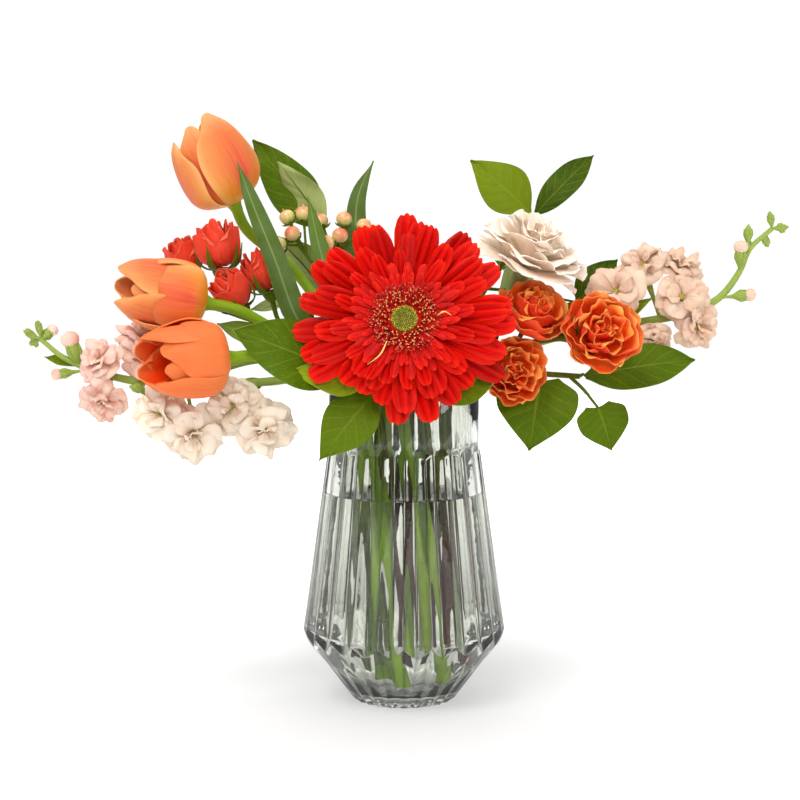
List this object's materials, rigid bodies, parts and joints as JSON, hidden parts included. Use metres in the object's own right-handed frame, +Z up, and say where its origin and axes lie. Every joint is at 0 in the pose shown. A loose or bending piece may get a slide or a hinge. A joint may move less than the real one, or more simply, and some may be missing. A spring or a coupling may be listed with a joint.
{
  "type": "flower arrangement in a vase",
  "caption": "Mixed bouquet led by a large red gerbera, with tulips, roses, carnation, stock, berries and leaves, standing in water in a clear fluted glass vase with a straight collar.",
  "frame": {"origin": "centre of the vase's foot on the surface it stands on", "axes": "+Z up along the vase's axis, +X to the right as seen from the front, -Y toward the viewer"},
  "size_m": [0.419, 0.1496, 0.3242],
  "materials": {
    "gerbera_red": "satin",
    "gerbera_eye": "matte",
    "gerbera_green": "satin",
    "tulip_orange": "satin",
    "tulip_green": "satin",
    "rose_red": "matte",
    "rose_orange": "matte",
    "rose_green": "matte",
    "carnation_cream": "matte",
    "carnation_green": "matte",
    "stock_blush": "matte",
    "stock_green": "matte",
    "hypericum_berry": "gloss",
    "leaf_green": "satin",
    "vase_glass": "gloss",
    "water": "gloss"
  },
  "bodies": {
    "root": {"gerbera_ray_florets": "gerbera_red", "gerbera_disc": "gerbera_eye", "gerbera_stem": "gerbera_green", "tulip_top_petals": "tulip_orange", "tulip_middle_petals": "tulip_orange", "tulip_low_petals": "tulip_orange", "tulip_top_stem": "tulip_green", "tulip_middle_stem": "tulip_green", "tulip_low_stem": "tulip_green", "red_rose_1": "rose_red", "red_rose_2": "rose_red", "red_rose_3": "rose_red", "red_rose_4": "rose_red", "red_rose_spray_stem": "rose_green", "orange_rose_1": "rose_orange", "orange_rose_2": "rose_orange", "orange_rose_3": "rose_orange", "orange_rose_spray_stem": "rose_green", "carnation_petals": "carnation_cream", "carnation_stem": "carnation_green", "stock_right_florets_1": "stock_blush", "stock_right_florets_2": "stock_blush", "stock_right_florets_3": "stock_blush", "stock_right_florets_4": "stock_blush", "stock_right_florets_5": "stock_blush", "stock_right_stem": "stock_green", "stock_left_florets_1": "stock_blush", "stock_left_florets_2": "stock_blush", "stock_left_florets_3": "stock_blush", "stock_left_stem": "stock_green", "stock_low_florets_1": "stock_blush", "stock_low_florets_2": "stock_blush", "stock_low_stem": "stock_green", "hypericum_spray": "hypericum_berry", "greens_front_left": "leaf_green", "greens_front": "leaf_green", "greens_right": "leaf_green", "greens_top_right": "leaf_green", "greens_top_left": "leaf_green", "greens_back_left": "leaf_green", "greens_back_right": "leaf_green", "vase": "vase_glass", "water": "water"}
  },
  "joints": []
}
